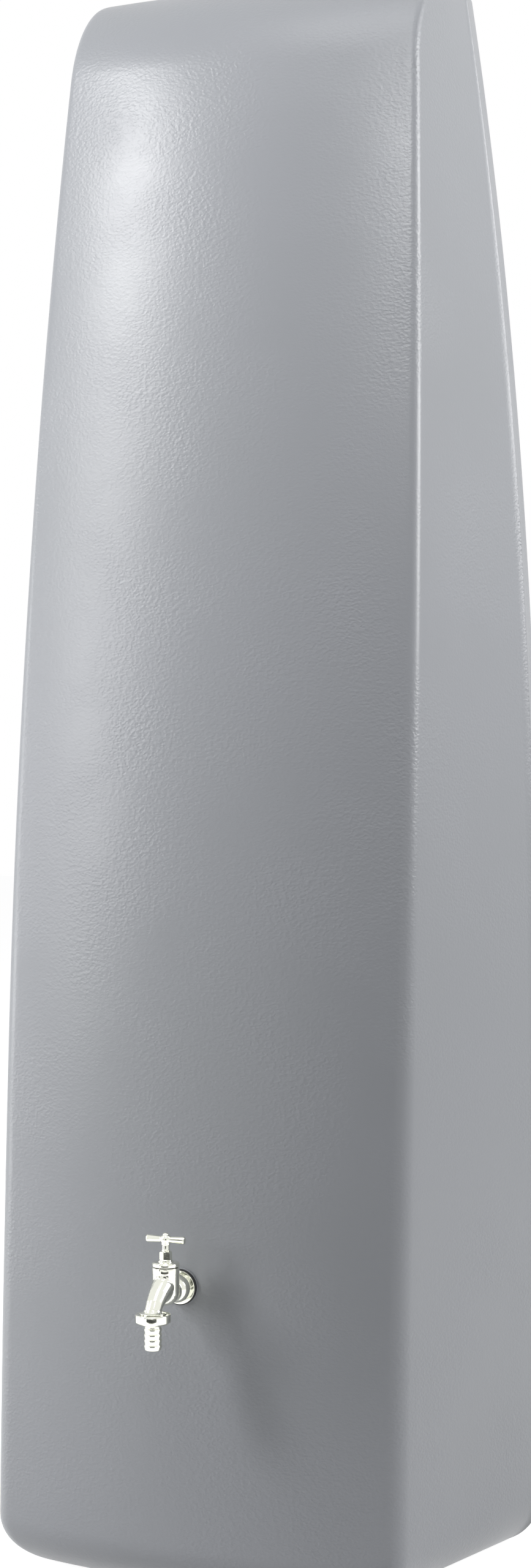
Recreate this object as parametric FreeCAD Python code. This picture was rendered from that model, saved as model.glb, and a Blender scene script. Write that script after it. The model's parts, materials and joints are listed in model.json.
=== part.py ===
"""Slim rainwater tank that stands against a wall, with a screw lid, a tap and wall brackets.

Axes: X across the front, Y towards the wall, Z up. The origin is on the floor, on the tank's
middle line, 190 mm in front of the wall. All sizes are in millimetres. The shapes are at rest:
lid screwed down, tap shut, hose tail tight.
"""
import FreeCAD, Part
import math
import os

V = FreeCAD.Vector
UP = V(0, 0, 1)
FORWARD = V(0, -1, 0)

# ---- tank ----
HEIGHT = 1840.0          # floor to deck
WALL = 5.0               # moulded wall
BACK = 190.0             # flat rear face
PLANED = 0.05            # depth planed off the back of the form
SEAM = 141.0             # mould seam, where the tank is widest
FRONT_FOOT = 172.0       # front corners ahead of the origin, at the floor
FRONT_LEAN = 30.0        # how far they fall back in the first metre, by slope
FRONT_SWEEP = 30.0       # and by the growing curve
FRONT_HALF = 246.0       # half width between the front corners, at the floor
TAPER_FROM = 600.0       # height where the front begins to narrow
FRONT_TAPER = 23.0
REAR_HALF = 309.5        # half width at the rear face, at the floor
REAR_TAPER = 15.5
SEAM_STEP = 4.0          # the seam stands out by this much from the rear corners
BOW_RADIUS = 660.0       # the front is bowed, seen from above
CROWN_RADIUS = 130.0     # front rolls over into the deck
CROWN_BOW = 24.0         # bow that is left at the deck's front edge
CROWN_BLEND = 190.0      # height over which the bow flattens to that
FOOT_RADIUS = 60.0       # rounding under the front and the sides
REAR_FOOT_RADIUS = 25.0
DECK_EDGE = 12.0         # rounding of the deck's side and rear edges
CORNER_TOP = 12.0        # upright front corners, radius at the deck
CORNER_GROWTH = 24.0     # how much larger it is at the floor
REAR_CORNER = 22.0
FIT = 0.1                # clearance round a piece that is fixed in another

# ---- filling neck and screw lid ----
NECK_Y = 129.0
NECK_OUTER = 51.0        # radii
NECK_BORE = 46.0
NECK_RISE = 20.0         # above the deck
LID_OUTER = 59.0
LID_INNER = 53.0
LID_DISC = 4.0
SEAL_THICK = 3.0
SEAL_GAP = 0.2
LID_RIBS = 36

# ---- inlet seal, left side near the top ----
INLET_Y = 60.0
INLET_Z = 1600.0
INLET_BORE = 16.0
INLET_GROOVE = 20.0
INLET_LIP = 24.0
INLET_LIP_THICK = 3.0
INLET_PLAY = 0.9         # the wall is a little thicker along the seal's axis than square to it

# ---- wall brackets ----
BRACKET_X = 150.0        # each side of the middle
BRACKET_WIDTH = 40.0
BRACKET_SHEET = 2.5
BRACKET_LEG = 44.0       # along the deck
BRACKET_RISE = 46.0      # up the wall
BRACKET_SLOT = 7.0       # width of the slot for the wall screw
BRACKET_SLOT_LONG = 19.0 # end to end, level
BRACKET_SLOT_UP = 28.0   # above the deck
SCREW_Y = 164.0
SCREW_RADIUS = 3.0
INSERT_RADIUS = 5.4
INSERT_LONG = 14.0

# ---- tap: heights are from the inlet axis, reaches are from the tank's tap pad ----
TAP_Z = 348.0
PAD_PROUD = 1.2
PAD_RADIUS = 21.0
PAD_DEPTH = 26.0
STEM_REACH = 40.0        # pad to spindle axis
OUTLET_REACH = 75.0      # pad to outlet axis
SHANK_RADIUS = 13.2      # three-quarter inch pipe thread
GASKET_THICK = 3.0
RING_THICK = 1.2
CHAMBER_RADIUS = 15.2
CHAMBER_BORE = 10.0
CHAMBER_TOP = 29.2
SEAT_TOP = 2.0
SPINDLE_RADIUS = 4.1
THREAD_RADIUS = 5.2
BAR_HALF = 22.6
BAR_HEIGHT = 59.7
NUT_RADIUS = 19.5
NUT_TOP = -16.0
NUT_BOTTOM = -27.0
OUTLET_END = -20.8
TAIL_RADIUS = 9.8
TAIL_BORE = 7.0
TAIL_END = -55.4
BARBS = 4


def front_reach(z):
    """Distance from the origin forward to the front corners at height z."""
    metres = z / 1000.0
    return FRONT_FOOT - FRONT_LEAN * metres - FRONT_SWEEP * metres ** 2


def front_half(z):
    """Half width between the front corners at height z."""
    return FRONT_HALF - FRONT_TAPER * (max(0.0, z - TAPER_FROM) / 1000.0) ** 2


def rear_half(z):
    """Half width at the rear face at height z."""
    return REAR_HALF - REAR_TAPER * (z / 1000.0) ** 3


def crown_start():
    """Height, lean and centre of the arc that rolls the front over into the deck."""
    centre_z = HEIGHT - CROWN_RADIUS
    lean = math.atan((FRONT_LEAN + 2 * FRONT_SWEEP * centre_z / 1000.0) / 1000.0)
    start_z = centre_z + CROWN_RADIUS * math.sin(lean)
    centre_y = CROWN_RADIUS * math.cos(lean) - front_reach(start_z)
    return start_z, lean, centre_y


CROWN_START, CROWN_LEAN, CROWN_Y = crown_start()


def tuck(radius, beyond):
    """How far a rounding of this radius has pulled the wall in, this far past its start."""
    if beyond <= 0:
        return 0.0
    return radius - math.sqrt(max(0.0, radius ** 2 - beyond ** 2))


def bow(z, half):
    """How far the middle of the front stands ahead of its corners."""
    free = half ** 2 / (2 * BOW_RADIUS)
    part = min(1.0, max(0.0, (z - HEIGHT + CROWN_BLEND) / CROWN_BLEND))
    ease = part * part * (3 - 2 * part)
    return free + (CROWN_BOW - free) * ease


def round_corner(before, corner, after, radius):
    """Start, middle and end of the arc that rounds a corner between two straight lines."""
    back = (before - corner).normalize()
    ahead = (after - corner).normalize()
    half = back.getAngle(ahead) / 2
    start = corner + back * (radius / math.tan(half))
    end = corner + ahead * (radius / math.tan(half))
    inward = (back + ahead).normalize()
    middle = corner + inward * (radius / math.sin(half) - radius)
    return start, middle, end


def side_point(z, inset):
    """Front corner, seam and rear corner of the right side at height z, before rounding."""
    reach = front_reach(z) - inset
    half = front_half(z) - inset
    rear = rear_half(z) - inset
    seam = rear + SEAM_STEP
    centre_z = HEIGHT - CROWN_RADIUS
    forward = reach
    if z > CROWN_START:
        radius = CROWN_RADIUS - inset
        rise = min(radius, z - centre_z)
        forward = math.sqrt(radius ** 2 - rise ** 2) - CROWN_Y
    along = (reach - forward) / (SEAM + reach)
    return half + (seam - half) * along, forward, seam, rear


def tank_outline(z, inset):
    """Closed outline of the tank at height z: outer skin, or the inner one with an inset."""
    half, forward, seam, rear = side_point(z, inset)
    foot = FOOT_RADIUS - inset
    rear_foot = REAR_FOOT_RADIUS - inset
    edge = DECK_EDGE - inset
    side_in = tuck(foot, foot + inset - z) + tuck(edge, z - (HEIGHT - DECK_EDGE))
    front_in = tuck(foot, foot + inset - z)
    rear_in = tuck(rear_foot, rear_foot + inset - z) + tuck(edge, z - (HEIGHT - DECK_EDGE))
    half -= side_in
    forward -= front_in
    seam -= side_in
    rear -= side_in
    back = BACK + PLANED - inset - rear_in
    corner_radius = CORNER_TOP + CORNER_GROWTH * (1 - z / HEIGHT) - inset
    bowed = bow(z, half)
    turn = 2 * math.atan(bowed / half)

    corner = V(half, -forward, z)
    seam_at = V(seam, SEAM, z)
    rear_at = V(rear, back, z)
    before = corner - V(math.cos(turn), math.sin(turn), 0) * 50
    a1, a2, a3 = round_corner(before, corner, seam_at, corner_radius)
    b1, b2, b3 = round_corner(seam_at, rear_at, V(0, back, z), REAR_CORNER - inset)
    apex = V(0, -forward - bowed, z)

    def mirror(point):
        return V(-point.x, point.y, point.z)

    def arc(one, two, three):
        return Part.Arc(one, two, three).toShape()

    edges = [
        arc(mirror(a1), apex, a1),
        arc(a1, a2, a3),
        Part.makeLine(a3, seam_at),
        Part.makeLine(seam_at, b1),
        arc(b1, b2, b3),
        Part.makeLine(b3, mirror(b3)),
        arc(mirror(b3), mirror(b2), mirror(b1)),
        Part.makeLine(mirror(b1), mirror(seam_at)),
        Part.makeLine(mirror(seam_at), mirror(a3)),
        arc(mirror(a3), mirror(a2), mirror(a1)),
    ]
    return Part.Wire(edges)


def tank_heights(inset):
    """Heights of the outlines: close together in the roundings, far apart between them."""
    foot = FOOT_RADIUS - inset
    crown = CROWN_RADIUS - inset
    low = [inset + foot * (1 - math.cos(math.radians(a))) for a in range(0, 91, 15)]
    mid_count = 9
    span = CROWN_START - FOOT_RADIUS
    middle = [FOOT_RADIUS + span * i / mid_count for i in range(1, mid_count)]
    lean = math.degrees(CROWN_LEAN)
    steps = 10
    high = []
    for i in range(steps + 1):
        angle = math.radians(lean + (90 - lean) * i / steps)
        high.append(HEIGHT - CROWN_RADIUS + crown * math.sin(angle))
    return low + middle + high


def tank_form(inset):
    """Solid of the whole tank shape, without its openings."""
    outlines = [tank_outline(z, inset) for z in tank_heights(inset)]
    form = Part.makeLoft(outlines, True, True)
    # a hair is planed off the back, which leaves one flat face there
    behind = Part.makeBox(2 * REAR_HALF, PLANED * 2, HEIGHT,
                          V(-REAR_HALF, BACK - inset, 0))
    return form.cut(behind)


def rod(radius, start, direction, length):
    return Part.makeCylinder(radius, length, start, direction)


def tube(outer, inner, start, direction, length):
    return rod(outer, start, direction, length).cut(rod(inner, start, direction, length))


def turned(profile, start, direction):
    """Solid of revolution. The profile is (radius, distance along the axis) from start."""
    points = [V(r, 0, h) for r, h in profile]
    points.append(points[0])
    solid = Part.Face(Part.makePolygon(points)).revolve(V(0, 0, 0), UP, 360)
    solid.Placement = FreeCAD.Placement(start, FreeCAD.Rotation(UP, direction))
    return solid


def hexagon(across_flats, start, height):
    """Upright hexagonal prism."""
    radius = across_flats / math.sqrt(3)
    points = []
    for i in range(7):
        angle = math.radians(60 * i)
        points.append(start + V(radius * math.cos(angle), radius * math.sin(angle), 0))
    return Part.Face(Part.makePolygon(points)).extrude(UP * height)


def fuse_all(solids):
    """Joins solids one after another."""
    whole = solids[0]
    for solid in solids[1:]:
        whole = whole.fuse(solid)
    return whole.removeSplitter()


def cut_all(solid, tools):
    """Cuts tools out of a solid one after another."""
    for tool in tools:
        solid = solid.cut(tool)
    return solid.removeSplitter()


# ---- places ----
NECK_FOOT = V(0, NECK_Y, HEIGHT)
PAD_Y = -(front_reach(TAP_Z) + bow(TAP_Z, front_half(TAP_Z)) + PAD_PROUD)
PAD = V(0, PAD_Y, TAP_Z)
STEM = V(0, PAD_Y - STEM_REACH, TAP_Z)
OUTLET = V(0, PAD_Y - OUTLET_REACH, TAP_Z)


def above(point, height):
    return point + UP * height


def inlet_frame():
    """Middle of the inlet seal on the left side's outer skin, and the way out of the tank."""
    def skin(y, z):
        half, forward, seam, _ = side_point(z, 0)
        return half + (seam - half) * (y + forward) / (SEAM + forward)

    step = 5.0
    here = skin(INLET_Y, INLET_Z)
    by_y = (skin(INLET_Y + step, INLET_Z) - here) / step
    by_z = (skin(INLET_Y, INLET_Z + step) - here) / step
    return V(-here, INLET_Y, INLET_Z), V(-1, -by_y, -by_z).normalize()


def bracket_places():
    return [V(side * BRACKET_X, SCREW_Y, HEIGHT) for side in (-1, 1)]


def make_tank_body():
    """One moulding: shell, filling neck, boss for the tap insert, bosses for the brackets."""
    shell = tank_form(0).cut(tank_form(WALL))
    neck_drop = 12.0
    neck = rod(NECK_OUTER, above(NECK_FOOT, -neck_drop), UP, neck_drop + NECK_RISE)
    tap_boss = rod(PAD_RADIUS, PAD, -FORWARD, PAD_DEPTH)
    boss_deep = 18.0
    bosses = [rod(10.0, above(p, -boss_deep), UP, boss_deep) for p in bracket_places()]
    body = shell.fuse([neck, tap_boss] + bosses)
    body = body.cut(rod(NECK_BORE, above(NECK_FOOT, -40), UP, 80))
    body = body.cut(rod(18.0 + FIT, PAD - FORWARD * 2, -FORWARD, 40))
    body = body.cut(rod(SHANK_RADIUS + 0.3, PAD + FORWARD, -FORWARD, 40))
    for place in bracket_places():
        body = body.cut(rod(INSERT_RADIUS + FIT, above(place, -INSERT_LONG - FIT), UP, 30))
    inlet, outward = inlet_frame()
    body = body.cut(rod(INLET_GROOVE + FIT, inlet - outward * 30, outward, 60))
    return body.removeSplitter()


def make_lid():
    """Screw lid: a disc with a ribbed skirt, a raised rim and a cross bar to grip."""
    inside_top = NECK_RISE + SEAL_GAP + SEAL_THICK
    top = inside_top + LID_DISC
    skirt_bottom = 3.0
    outer = LID_OUTER - 2.0
    profile = [(0, inside_top), (LID_INNER, inside_top), (LID_INNER, skirt_bottom),
               (outer, skirt_bottom), (outer, top + 1.0), (outer - 2.0, top + 3.0),
               (outer - 8.0, top + 3.0), (outer - 10.0, top), (0, top)]
    lid = turned(profile, NECK_FOOT, UP)
    rib_height = top - skirt_bottom - 2.0
    ribs = []
    for i in range(LID_RIBS):
        angle = 2 * math.pi * i / LID_RIBS
        at = NECK_FOOT + V(outer * math.cos(angle), outer * math.sin(angle), skirt_bottom + 1.5)
        ribs.append(rod(2.0, at, UP, rib_height))
    bar = Part.makeBox(2 * (outer - 9.0), 12.0, 9.0, V(-(outer - 9.0), -6.0, top - 1.0))
    bar.translate(NECK_FOOT)
    bar = bar.makeFillet(3.0, [e for e in bar.Edges if min(v.Z for v in e.Vertexes)
                               > HEIGHT + top + 7.0])
    return lid.fuse(ribs + [bar]).removeSplitter()


def make_lid_seal():
    return tube(NECK_OUTER + 1.0, NECK_BORE + 0.5, above(NECK_FOOT, NECK_RISE + SEAL_GAP), UP,
                SEAL_THICK - FIT)


def make_inlet_seal():
    """Rubber grommet, gripping the wall in its groove, that a filling hose pushes through."""
    inlet, outward = inlet_frame()
    lip = INLET_LIP_THICK
    profile = [(INLET_BORE, -WALL - lip), (INLET_LIP - 2.0, -WALL - lip),
               (INLET_LIP - 1.0, -WALL - INLET_PLAY), (INLET_GROOVE, -WALL - INLET_PLAY),
               (INLET_GROOVE, 0.2), (INLET_LIP, 0.2), (INLET_LIP - 1.0, lip),
               (INLET_BORE, lip)]
    return turned(profile, inlet, outward)


def make_wall_bracket(side):
    """Angle of steel sheet: one leg screwed to the deck, the other slotted for a wall screw."""
    sheet = BRACKET_SHEET
    left = side * BRACKET_X - BRACKET_WIDTH / 2
    foot = Part.makeBox(BRACKET_WIDTH, BRACKET_LEG, sheet, V(left, BACK - BRACKET_LEG, HEIGHT))
    rise = Part.makeBox(BRACKET_WIDTH, sheet, BRACKET_RISE, V(left, BACK - sheet, HEIGHT))
    angle = foot.fuse(rise).removeSplitter()
    inner = [e for e in angle.Edges if abs(e.CenterOfMass.y - (BACK - sheet)) < 0.01
             and abs(e.CenterOfMass.z - (HEIGHT + sheet)) < 0.01]
    outer = [e for e in angle.Edges if abs(e.CenterOfMass.y - BACK) < 0.01
             and abs(e.CenterOfMass.z - HEIGHT) < 0.01]
    angle = angle.makeFillet(2.0, inner).makeFillet(2.0 + sheet, outer)
    hole = rod(3.3, V(side * BRACKET_X, SCREW_Y, HEIGHT - 1), UP, 10)
    radius = BRACKET_SLOT / 2
    straight = BRACKET_SLOT_LONG - BRACKET_SLOT
    start = V(side * BRACKET_X - straight / 2, BACK - 10, HEIGHT + BRACKET_SLOT_UP)
    ends = [rod(radius, start + V(run, 0, 0), V(0, 1, 0), 20) for run in (0, straight)]
    middle = Part.makeBox(straight, 20, BRACKET_SLOT, start - V(0, 0, radius))
    return cut_all(angle, [hole, middle] + ends)


def make_bracket_inserts():
    """Brass threaded bushes moulded into the deck bosses."""
    bushes = [tube(INSERT_RADIUS, SCREW_RADIUS + FIT, above(p, -INSERT_LONG), UP, INSERT_LONG)
              for p in bracket_places()]
    return Part.makeCompound(bushes)


def make_bracket_washers():
    washers = [tube(9.0, 3.2, above(p, BRACKET_SHEET), UP, 1.6) for p in bracket_places()]
    return Part.makeCompound(washers)


def make_bracket_screws():
    """Hexagon head screws, one in each bracket."""
    screws = []
    seat = BRACKET_SHEET + 1.6
    for place in bracket_places():
        head = hexagon(10.0, above(place, seat), 4.0)
        shank = rod(SCREW_RADIUS, above(place, seat - 16.0), UP, 16.0)
        screws.append(head.fuse(shank).removeSplitter())
    return Part.makeCompound(screws)


def make_tap_insert():
    """Brass bush with a flange, moulded into the front wall behind the pad."""
    bush = rod(18.0, PAD - FORWARD * (2 + FIT), -FORWARD, 20)
    groove = tube(20.0, 16.5, PAD - FORWARD * 9, -FORWARD, 4)
    return bush.cut(groove).cut(rod(SHANK_RADIUS + FIT, PAD, -FORWARD, 40))


def make_tap_gasket():
    return tube(20.0, SHANK_RADIUS + 0.3, PAD, FORWARD, GASKET_THICK)


def make_tap_flange_ring():
    return tube(18.8, SHANK_RADIUS + 0.3, PAD + FORWARD * GASKET_THICK, FORWARD, RING_THICK)


def arc_profile(first, radius_x, radius_y, steps):
    """Quarter ellipse from a wide rim to a narrow neck, as (radius, distance) points."""
    points = []
    for i in range(steps + 1):
        angle = math.pi / 2 * i / steps
        points.append((first[0] - radius_x * (1 - math.cos(angle)),
                       first[1] + radius_y * math.sin(angle)))
    return points


def make_tap_body():
    """Chromed brass casting: shank, domed collar, valve chamber and swept spout."""
    back = GASKET_THICK + RING_THICK
    dome = [(0, -15.0), (SHANK_RADIUS, -15.0), (SHANK_RADIUS, back), (16.0, back)]
    dome += arc_profile((16.0, back + 4.0), 5.4, 13.0, 8)
    dome += [(10.6, STEM_REACH), (0, STEM_REACH)]
    inlet = turned(dome, PAD, FORWARD)
    chamber = rod(CHAMBER_RADIUS, above(STEM, 2), UP, CHAMBER_TOP - 2)
    bottom = Part.makeSphere(CHAMBER_RADIUS, above(STEM, 2))

    def ring(reach, height, pitch_down, radius):
        angle = math.radians(pitch_down)
        along = V(0, -math.cos(angle), -math.sin(angle))
        circle = Part.Circle(V(0, PAD_Y - reach, TAP_Z + height), along, radius)
        return Part.Wire(circle.toShape())

    spout = Part.makeLoft([ring(43, 8, 35, 13.2), ring(56, 2.5, 42, 11.6),
                           ring(68, -5.0, 62, 10.0), ring(OUTLET_REACH, -13.0, 90, 9.4)],
                          True, False)
    flare = turned([(0, -13.5), (0, 0), (12.4, 0), (12.4, -5.0), (14.8, -5.0), (14.8, -6.1),
                    (12.2, -6.6), (10.2, -7.8), (9.4, -9.5), (9.4, -13.5)],
                   above(OUTLET, OUTLET_END), -UP)
    body = fuse_all([inlet, chamber, bottom, spout, flare])
    passages = [
        rod(7.5, PAD - FORWARD * 20, FORWARD, STEM_REACH + 20),
        rod(5.0, above(STEM, -4), UP, 20),
        rod(CHAMBER_BORE, above(STEM, SEAT_TOP), UP, 40),
        Part.makeLoft([ring(46, 8, 35, 6.0), ring(57, 2.0, 42, 6.0),
                       ring(68, -5.5, 62, 6.0), ring(OUTLET_REACH, -14.0, 90, 6.0)],
                      True, False),
        rod(6.0, above(OUTLET, -24), UP, 11),
    ]
    return cut_all(body, passages)


def make_bonnet_seal():
    return tube(13.0, CHAMBER_BORE + FIT, above(STEM, CHAMBER_TOP), UP, 1.0)


def make_bonnet():
    """Screwed top of the valve chamber, with the spindle's thread inside."""
    under = CHAMBER_TOP + 1.0
    profile = [(THREAD_RADIUS + FIT, 16.0), (CHAMBER_BORE - FIT, 16.0),
               (CHAMBER_BORE - FIT, under), (CHAMBER_RADIUS, under),
               (CHAMBER_RADIUS, 33.8), (CHAMBER_RADIUS - 1.2, 34.8), (8.6, 35.0),
               (8.6, 36.2), (6.6, 36.2), (6.6, 30.6), (THREAD_RADIUS + FIT, 30.6)]
    return turned(profile, STEM, UP)


def make_gland_packing():
    return tube(6.5, SPINDLE_RADIUS + 0.05, above(STEM, 30.7), UP, 3.0)


def make_gland_nut():
    """Hexagon nut that presses the packing onto the spindle."""
    spigot = rod(6.5, above(STEM, 33.8), UP, 2.5)
    flange = rod(7.6, above(STEM, 36.3), UP, 1.2)
    head = hexagon(12.0, above(STEM, 37.0), 9.6)
    chamfer = turned([(0, 37.0), (8.0, 37.0), (8.0, 44.9), (6.0, 46.6), (0, 46.6)], STEM, UP)
    nut = fuse_all([spigot, flange, head.common(chamfer)])
    return nut.cut(rod(SPINDLE_RADIUS + 0.05, above(STEM, 30), UP, 20))


def make_spindle():
    """Screw that the handle turns. Its lower end holds the jumper's stem."""
    profile = [(0, 14.5), (2.6, 14.5), (2.6, 8.0), (THREAD_RADIUS, 8.0), (THREAD_RADIUS, 23.5),
               (SPINDLE_RADIUS, 24.1), (SPINDLE_RADIUS, 46.9), (4.7, 46.9), (4.7, 47.9),
               (SPINDLE_RADIUS, 48.3), (SPINDLE_RADIUS, 53.0), (2.6, 53.0), (2.6, 63.5),
               (1.5, 63.5), (1.5, 57.0), (0, 57.0)]
    return turned(profile, STEM, UP)


def make_handle():
    """T handle: a round hub on the spindle's end, with two arms that widen outwards."""
    neck = [(0, 53.1), (4.7, 53.1), (5.0, 55.0), (5.0, 60.0), (0, 60.0)]
    hub = fuse_all([turned(neck, STEM, UP), Part.makeSphere(6.2, above(STEM, BAR_HEIGHT))])
    arm = [(0, 0), (2.9, 0), (3.0, 7.0), (4.1, BAR_HALF - 4.0), (4.3, BAR_HALF - 1.0),
           (3.3, BAR_HALF), (0, BAR_HALF)]
    arms = [turned(arm, above(STEM, BAR_HEIGHT), V(side, 0, 0)) for side in (-1, 1)]
    handle = fuse_all([hub] + arms)
    handle = handle.cut(rod(2.65, above(STEM, 50), UP, 13.6))
    return handle.cut(rod(3.7, above(STEM, 63.6), UP, 10))


def make_handle_screw():
    """Domed screw on top of the hub that holds the handle on the spindle."""
    profile = [(0, 57.5), (1.4, 57.5), (1.4, 63.7), (3.6, 63.7), (3.5, 65.2), (2.6, 66.4),
               (1.2, 67.1), (0, 67.2)]
    return turned(profile, STEM, UP)


def make_jumper():
    """Disc and stem that carry the valve washer. They rise with the spindle, unturned."""
    profile = [(0, 14.2), (2.5, 14.2), (2.5, 7.8), (8.0, 7.8), (8.0, 5.7), (2.0, 5.7),
               (2.0, -1.8), (0, -1.8)]
    return turned(profile, STEM, UP)


def make_valve_washer():
    return tube(7.8, 2.1, above(STEM, SEAT_TOP + FIT), UP, 3.5)


def make_washer_nut():
    nut = hexagon(6.0, above(STEM, 0.0), 2.0)
    return nut.cut(rod(2.1, above(STEM, -5), UP, 10))


def make_outlet_washer():
    return tube(12.2, 7.0, above(OUTLET, OUTLET_END - 1.8), UP, 1.6)


def make_hose_tail():
    """Barbed tail for a garden hose, with the flange that the union nut pulls up."""
    flange_top = OUTLET_END - 1.9
    flange_low = flange_top - 2.0
    profile = [(TAIL_BORE, flange_top), (12.4, flange_top), (12.4, flange_low),
               (9.9, flange_low), (9.9, NUT_BOTTOM - 1.6), (8.6, NUT_BOTTOM - 2.4)]
    pitch = 6.0
    first = TAIL_END + BARBS * pitch
    for i in range(BARBS):
        crest = first - i * pitch
        profile += [(8.6, crest), (TAIL_RADIUS, crest), (TAIL_RADIUS, crest - 1.2)]
        profile += [(8.6, crest - pitch + 0.4)]
    profile += [(8.3, TAIL_END), (TAIL_BORE, TAIL_END)]
    return turned(profile, OUTLET, UP)


def make_union_nut():
    """Round nut that holds the hose tail on the outlet's thread."""
    lip_top = OUTLET_END - 1.9 - 2.1
    profile = [(12.8, NUT_TOP), (NUT_RADIUS - 1.0, NUT_TOP), (NUT_RADIUS, NUT_TOP - 0.8),
               (NUT_RADIUS, NUT_BOTTOM + 2.4), (NUT_RADIUS - 2.2, NUT_BOTTOM + 0.2),
               (NUT_RADIUS - 4.0, NUT_BOTTOM), (10.2, NUT_BOTTOM), (10.2, lip_top),
               (12.8, lip_top)]
    return turned(profile, OUTLET, UP)


PARTS = {
    "tank_body": make_tank_body,
    "lid": make_lid,
    "lid_seal": make_lid_seal,
    "inlet_seal": make_inlet_seal,
    "wall_bracket_left": lambda: make_wall_bracket(-1),
    "wall_bracket_right": lambda: make_wall_bracket(1),
    "bracket_inserts": make_bracket_inserts,
    "bracket_washers": make_bracket_washers,
    "bracket_screws": make_bracket_screws,
    "tap_insert": make_tap_insert,
    "tap_gasket": make_tap_gasket,
    "tap_flange_ring": make_tap_flange_ring,
    "tap_body": make_tap_body,
    "bonnet_seal": make_bonnet_seal,
    "bonnet": make_bonnet,
    "gland_packing": make_gland_packing,
    "gland_nut": make_gland_nut,
    "spindle": make_spindle,
    "handle": make_handle,
    "handle_screw": make_handle_screw,
    "jumper": make_jumper,
    "valve_washer": make_valve_washer,
    "washer_nut": make_washer_nut,
    "outlet_washer": make_outlet_washer,
    "hose_tail": make_hose_tail,
    "union_nut": make_union_nut,
}


def main():
    os.makedirs("parts", exist_ok=True)
    for name, make in PARTS.items():
        shape = make()
        shape.exportStep("parts/" + name + ".step")
        print(name, "valid", shape.isValid(), "solids", len(shape.Solids),
              "cm3", round(shape.Volume / 1000, 2))


main()
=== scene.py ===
# %% [markdown]
# # A slim rainwater tank with a chromed garden tap
# The tank is one hollow moulding of zinc-grey polyethylene. It stands against a house wall, so
# its back is flat, its front is bowed and leans back, and the front rolls over into a small
# deck with a screw lid. This notebook rebuilds what the eye sees: the skin with its grain,
# the black rubber, and a tap turned and cast in brass and plated with chromium.

# %% Load the frame
import bpy
import bmesh
import json
import math
import numpy as np
from mathutils import Matrix, Vector, noise


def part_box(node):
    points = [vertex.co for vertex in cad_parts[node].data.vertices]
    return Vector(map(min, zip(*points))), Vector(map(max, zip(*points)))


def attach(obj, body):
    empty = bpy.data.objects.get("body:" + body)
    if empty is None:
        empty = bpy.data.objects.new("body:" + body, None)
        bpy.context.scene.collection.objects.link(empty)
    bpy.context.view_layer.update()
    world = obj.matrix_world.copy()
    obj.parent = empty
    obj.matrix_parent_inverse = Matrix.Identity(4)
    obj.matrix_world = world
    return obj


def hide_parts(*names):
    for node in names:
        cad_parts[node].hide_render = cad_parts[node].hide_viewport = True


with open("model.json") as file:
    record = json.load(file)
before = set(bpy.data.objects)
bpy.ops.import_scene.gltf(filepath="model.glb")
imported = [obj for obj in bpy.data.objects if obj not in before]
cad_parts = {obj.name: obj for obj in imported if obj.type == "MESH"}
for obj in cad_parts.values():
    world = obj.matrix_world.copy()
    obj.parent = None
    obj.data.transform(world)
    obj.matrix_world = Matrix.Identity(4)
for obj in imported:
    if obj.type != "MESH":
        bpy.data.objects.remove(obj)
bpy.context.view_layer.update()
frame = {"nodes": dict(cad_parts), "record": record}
MM = 0.001

# %% [markdown]
# ## Two helpers for materials
# Paint and plastic colours are written as sRGB hex values, as a colour fan shows them. Cycles
# works in linear light, so one function turns them. A second adds a shader node with its
# settings and its links in one call, which keeps each recipe short enough to read.

# %% Colour and node helpers


def linear(hex_colour):
    """sRGB hex string to a linear RGBA tuple."""
    channels = [int(hex_colour[i:i + 2], 16) / 255 for i in (1, 3, 5)]
    return tuple(c / 12.92 if c <= 0.04045 else ((c + 0.055) / 1.055) ** 2.4
                 for c in channels) + (1.0,)


def add_node(tree, kind, settings=None, links=None):
    """Adds a node. settings holds attributes or inputs, links holds input: (node, output)."""
    node = tree.nodes.new(kind)
    for key, value in (settings or {}).items():
        if isinstance(key, str) and hasattr(node, key):
            setattr(node, key, value)
        else:
            node.inputs[key].default_value = value
    for key, (source, output) in (links or {}).items():
        tree.links.new(source.outputs[output], node.inputs[key])
    return node


def new_finish(name, settings):
    """A material with one Principled shader. Returns material, tree, shader and coordinates."""
    material = bpy.data.materials.new(name)
    material.use_nodes = True
    tree = material.node_tree
    shader = tree.nodes["Principled BSDF"]
    for key, value in settings.items():
        shader.inputs[key].default_value = value
    place = add_node(tree, "ShaderNodeTexCoord")
    return material, tree, shader, place


# %% [markdown]
# ## Zinc-grey polyethylene, moulded in a grained tool
# Large tanks are blown or rotated from polyethylene (PE). The tool is etched with a fine
# leather grain, so the skin is a net of small pillows about 4 mm wide and 3 mm tall. The
# grain could be displaced geometry, but at a few tenths of a millimetre deep a bump is all
# that the light can read. Polyethylene has an IOR of about 1.54, no metal, and a satin
# surface.

# %% Grained polyethylene
GRAIN_WIDE = 4.2         # mm, one pillow of the grain
GRAIN_TALL = 3.0
GRAIN_FINE = 1.2         # mm, the fine tooth on top of the pillows
GRAIN_DEEP = 0.0006      # m


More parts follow.
